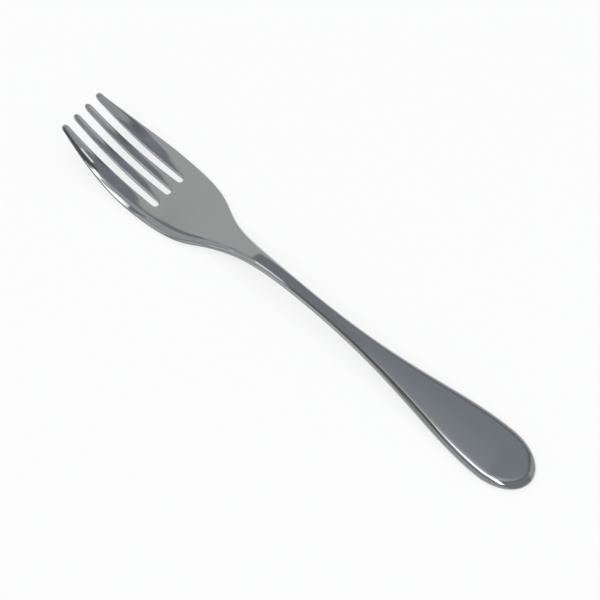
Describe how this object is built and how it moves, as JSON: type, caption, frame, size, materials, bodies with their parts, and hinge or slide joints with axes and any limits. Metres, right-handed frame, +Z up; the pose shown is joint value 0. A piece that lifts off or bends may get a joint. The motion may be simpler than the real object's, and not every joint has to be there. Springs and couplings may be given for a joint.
{
  "type": "table fork",
  "caption": "Solid polished steel table fork with a broad slotted head, upturned tapering tines, a slim arched neck and a plain teardrop handle, for spearing and lifting food.",
  "frame": {"origin": "on the table, under the middle of the fork's length and width", "axes": "+X along the fork from the handle's end to the tine tips, +Y across it, +Z up"},
  "size_m": [0.2, 0.0284, 0.0132],
  "materials": {
    "polished_steel": "mirror-polished stainless steel"
  },
  "bodies": {
    "root": {"fork": "polished_steel"}
  },
  "joints": []
}
